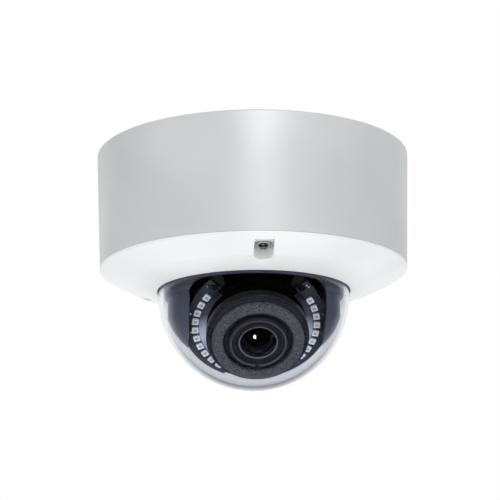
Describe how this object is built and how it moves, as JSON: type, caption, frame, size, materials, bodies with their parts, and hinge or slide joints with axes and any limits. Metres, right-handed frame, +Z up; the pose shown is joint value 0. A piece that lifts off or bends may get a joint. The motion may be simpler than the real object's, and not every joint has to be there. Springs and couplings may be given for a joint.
{
  "type": "dome security camera",
  "caption": "Ceiling-mounted vandal-resistant dome camera: round base, screwed cover, clear dome, black liner, and a pan, tilt and roll gimbal with a varifocal lens and infrared LED boards.",
  "frame": {"origin": "centre of the flat face that lies against the ceiling", "axes": "+Z up, out of the ceiling face; -Y towards the front cover screw and the lens; +X to the right seen from the front"},
  "size_m": [0.145, 0.145, 0.1099],
  "materials": {
    "base_paint": "fine matte powder coat, light grey",
    "cover_paint": "smoother satin paint, near white",
    "clear_dome": "clear hard-coated polycarbonate, polished",
    "liner_plastic": "semi-gloss black plastic",
    "black_plastic": "matte black plastic",
    "lens_black": "satin black anodised lens body",
    "lens_glass": "coated optical glass",
    "led_board": "black solder mask with white surface-mounted LEDs",
    "circuit_board": "green solder mask",
    "connector_plastic": "ivory nylon",
    "foam": "closed-cell foam rubber, grained",
    "rubber": "black silicone rubber",
    "steel": "zinc-plated and stainless steel",
    "aluminium": "plain extruded aluminium"
  },
  "bodies": {
    "base": {"base_housing": "base_paint", "conduit_plug": "base_paint", "cable_grommet": "rubber", "cover_ring": "cover_paint", "cover_gasket": "rubber", "dome_bubble": "clear_dome", "dome_gasket": "rubber", "dome_clamp_ring": "steel", "chassis_plate": "steel", "main_board": "circuit_board", "heat_sink": "aluminium", "network_connector": "connector_plastic", "power_connector": "connector_plastic", "service_board": "circuit_board", "memory_card_socket": "steel", "reset_switch": "black_plastic", "pan_ring": "black_plastic", "pan_pivot": "steel", "pan_nut": "steel", "cover_screw_1": "steel", "clamp_screw_1": "steel", "chassis_screw_1": "steel", "cover_screw_2": "steel", "clamp_screw_2": "steel", "chassis_screw_2": "steel", "cover_screw_3": "steel", "clamp_screw_3": "steel", "chassis_screw_3": "steel", "board_spacer_1": "steel", "board_spacer_2": "steel"},
    "reset_button": {"reset_button": "connector_plastic"},
    "pan_stage": {"pan_bracket": "steel", "inner_liner": "liner_plastic"},
    "tilt_stage": {"tilt_cradle": "black_plastic", "tilt_pivot_left": "steel", "tilt_pivot_right": "steel", "led_faceplate": "black_plastic", "led_board_left": "led_board", "led_board_right": "led_board", "light_sensor": "connector_plastic", "lens_shroud": "liner_plastic", "foam_ring": "foam"},
    "lens_module": {"lens_holder": "black_plastic", "roll_ring": "black_plastic", "sensor_board": "circuit_board", "image_sensor": "black_plastic", "lens_barrel": "lens_black", "front_lens": "lens_glass", "rear_lens": "lens_glass"},
    "zoom_ring": {"zoom_ring": "lens_black", "zoom_lock_screw": "steel"},
    "focus_ring": {"focus_ring": "lens_black", "focus_lock_screw": "steel"}
  },
  "joints": [
    {"name": "reset_press", "type": "slide", "parent": "base", "child": "reset_button", "axis": [0, 0, 1], "range_m": [0, 0.0004], "stiffness_N_per_m": 400, "springref_m": -0.001},
    {"name": "pan", "type": "hinge", "parent": "base", "child": "pan_stage", "pos_m": [0, 0, -0.03], "axis": [0, 0, 1], "range_deg": [-177.5, 177.5]},
    {"name": "tilt", "type": "hinge", "parent": "pan_stage", "child": "tilt_stage", "pos_m": [0, 0, -0.066], "axis": [1, 0, 0], "range_deg": [-13, 42]},
    {"name": "lens_roll", "type": "hinge", "parent": "tilt_stage", "child": "lens_module", "pos_m": [0, 0, -0.066], "axis": [0, -0.6691, -0.7431], "range_deg": [-90, 90]},
    {"name": "zoom", "type": "hinge", "parent": "lens_module", "child": "zoom_ring", "pos_m": [0, -0.00348, -0.06986], "axis": [0, -0.6691, -0.7431], "range_deg": [-30, 30]},
    {"name": "focus", "type": "hinge", "parent": "lens_module", "child": "focus_ring", "pos_m": [0, -0.00709, -0.07388], "axis": [0, -0.6691, -0.7431], "range_deg": [-40, 40]}
  ]
}
